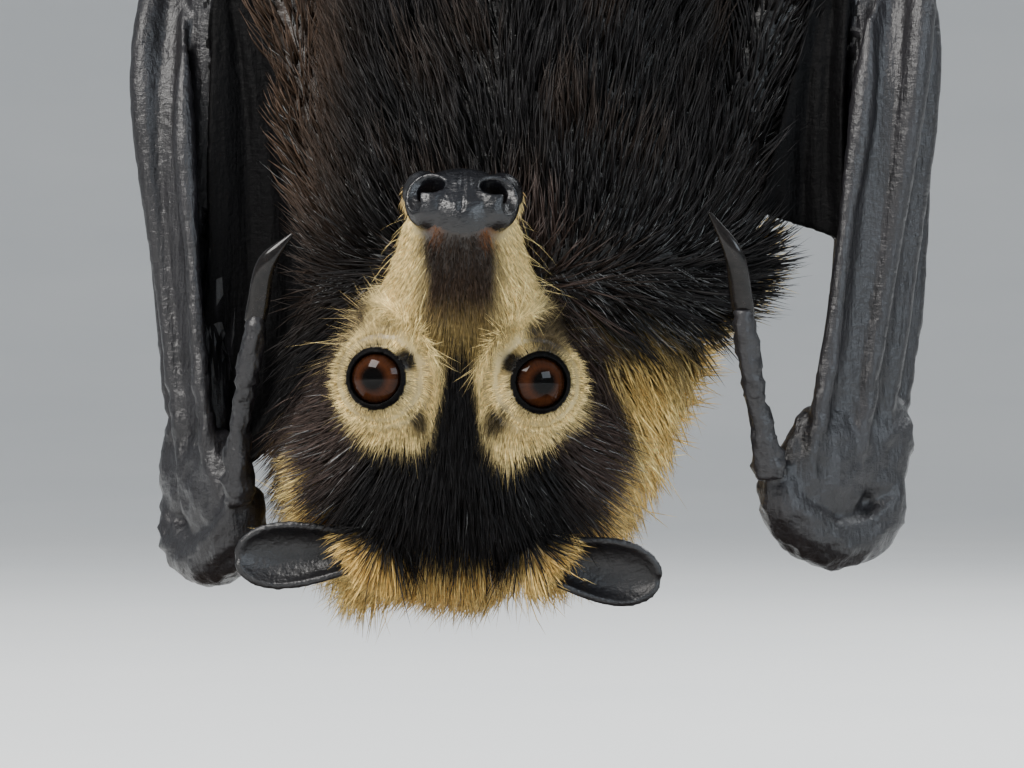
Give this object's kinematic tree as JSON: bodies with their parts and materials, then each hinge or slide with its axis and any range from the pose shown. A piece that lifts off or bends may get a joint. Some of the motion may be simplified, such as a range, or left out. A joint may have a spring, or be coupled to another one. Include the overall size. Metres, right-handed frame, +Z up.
{
  "type": "spectacled flying fox model",
  "caption": "Life-size museum model of a spectacled flying fox hanging head down by both feet from a cut branch, wings folded, on a plain display stand.",
  "frame": {"origin": "middle of the underside of the stand's base, on the floor", "axes": "+Z up, +X to the animal's left hand (the viewer's right when facing its belly), belly and face towards -Y"},
  "size_m": [0.25, 0.17, 0.401],
  "materials": {
    "dark_fur": "long soft black fur with silver guard hairs",
    "golden_fur": "long woolly straw-gold mantle",
    "wing_skin": "thin dark grey-brown skin, finely wrinkled, slight sheen",
    "ear_skin": "bare dark slate skin",
    "eye": "dark brown, wet gloss",
    "horn": "glossy black horn",
    "bark": "rough brown bark with pale cut ends",
    "stand_wood": "satin oiled wood",
    "stand_steel": "satin"
  },
  "bodies": {
    "root": {"perch": "bark", "eye_left": "eye", "eye_right": "eye", "head": "dark_fur", "lower_jaw": "dark_fur", "ear_left": "ear_skin", "ear_right": "ear_skin", "neck": "golden_fur", "trunk": "dark_fur", "thigh_left": "dark_fur", "upper_arm_left": "dark_fur", "forearm_left": "wing_skin", "wrist_left": "wing_skin", "thumb_left": "wing_skin", "thumb_claw_left": "horn", "finger_2_left": "wing_skin", "finger_3_left": "wing_skin", "finger_4_left": "wing_skin", "finger_5_left": "wing_skin", "web_2_3_left": "wing_skin", "web_3_4_left": "wing_skin", "web_4_5_left": "wing_skin", "shin_left": "wing_skin", "shoulder_membrane_left": "wing_skin", "arm_membrane_left": "wing_skin", "toe_claw_1_left": "horn", "toe_claw_2_left": "horn", "toe_claw_3_left": "horn", "toe_claw_4_left": "horn", "toe_claw_5_left": "horn", "foot_left": "wing_skin", "thigh_right": "dark_fur", "upper_arm_right": "dark_fur", "forearm_right": "wing_skin", "wrist_right": "wing_skin", "thumb_right": "wing_skin", "thumb_claw_right": "horn", "finger_2_right": "wing_skin", "finger_3_right": "wing_skin", "finger_4_right": "wing_skin", "finger_5_right": "wing_skin", "web_2_3_right": "wing_skin", "web_3_4_right": "wing_skin", "web_4_5_right": "wing_skin", "shin_right": "wing_skin", "shoulder_membrane_right": "wing_skin", "arm_membrane_right": "wing_skin", "toe_claw_1_right": "horn", "toe_claw_2_right": "horn", "toe_claw_3_right": "horn", "toe_claw_4_right": "horn", "toe_claw_5_right": "horn", "foot_right": "wing_skin", "stand_base": "stand_wood", "stand_rod_left": "stand_steel", "stand_rod_right": "stand_steel"}
  },
  "joints": []
}
